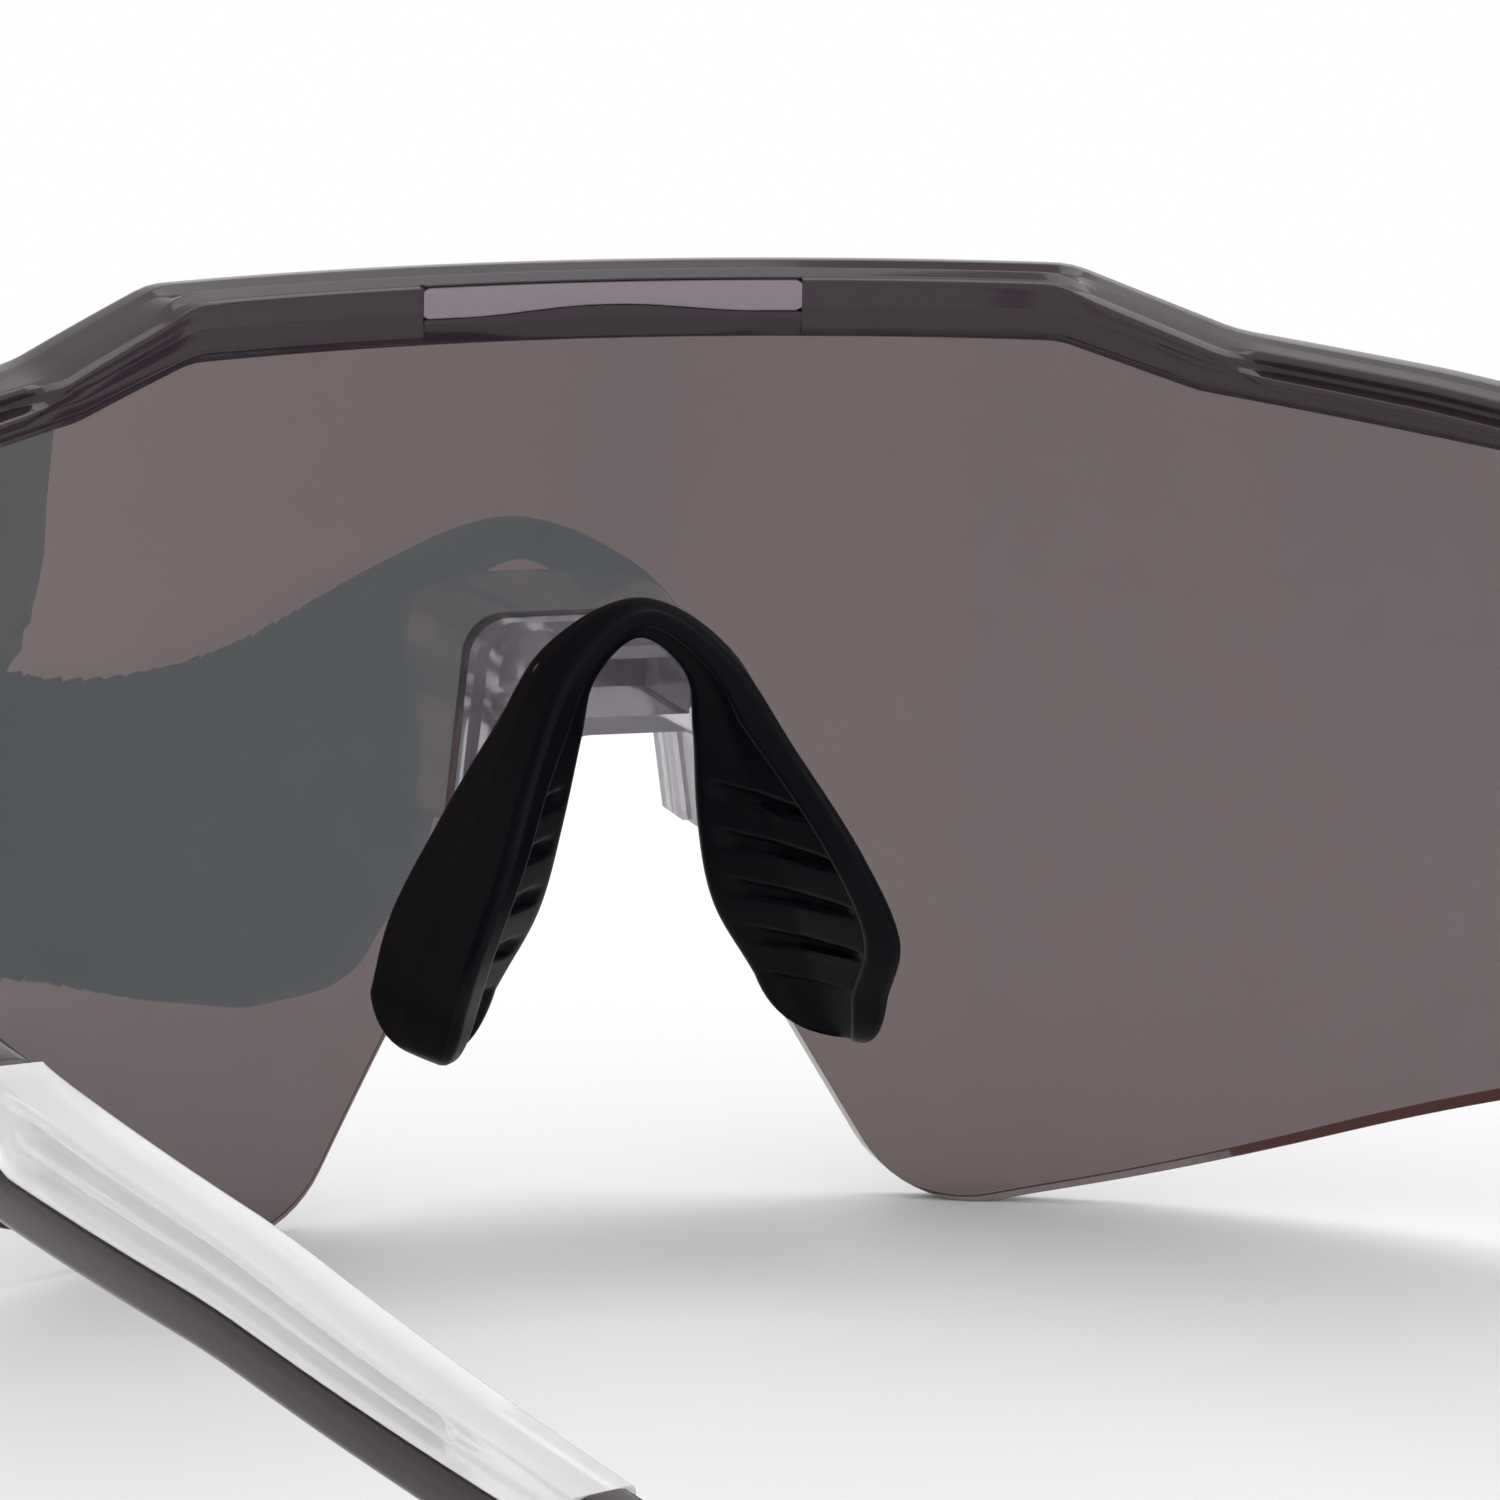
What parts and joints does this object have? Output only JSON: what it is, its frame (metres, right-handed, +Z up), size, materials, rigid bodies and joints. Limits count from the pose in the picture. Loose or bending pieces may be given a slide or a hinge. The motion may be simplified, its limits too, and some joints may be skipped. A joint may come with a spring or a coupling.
{
  "type": "wraparound sport sunglasses",
  "caption": "Half-rim wraparound sport sunglasses with a single shield lens, a smoke brow bar, a rubber nose saddle and folding temples.",
  "frame": {"origin": "centre of the footprint box, on the surface that the glasses stand on", "axes": "+X towards the wearer's right, +Y forward, +Z up"},
  "size_m": [0.1326, 0.1788, 0.057],
  "materials": {
    "smoke_plastic": "translucent smoke, gloss",
    "tinted_lens": "brown-grey tint, mirror-smooth",
    "frosted_inlay": "frosted lavender grey",
    "clear_plastic": "clear, gloss",
    "black_rubber": "soft satin",
    "steel": "turned",
    "brass": "turned"
  },
  "bodies": {
    "front": {"front_frame": "smoke_plastic", "shield_lens": "tinted_lens", "brow_inlay": "frosted_inlay", "nose_carrier": "clear_plastic", "nose_pad": "black_rubber", "left_hinge_screw": "steel", "right_hinge_screw": "steel", "left_hinge_nut": "brass", "right_hinge_nut": "brass"},
    "left_temple": {"left_temple_arm": "smoke_plastic", "left_temple_strip": "clear_plastic", "left_temple_tip": "black_rubber"},
    "right_temple": {"right_temple_arm": "smoke_plastic", "right_temple_strip": "clear_plastic", "right_temple_tip": "black_rubber"}
  },
  "joints": [
    {"name": "left_hinge", "type": "hinge", "parent": "front", "child": "left_temple", "pos_m": [-0.06102, 0.03905, 0.0429], "axis": [0, 0, 1], "range_deg": [0, 80]},
    {"name": "right_hinge", "type": "hinge", "parent": "front", "child": "right_temple", "pos_m": [0.06102, 0.03905, 0.0429], "axis": [0, 0, -1], "range_deg": [0, 70]}
  ]
}
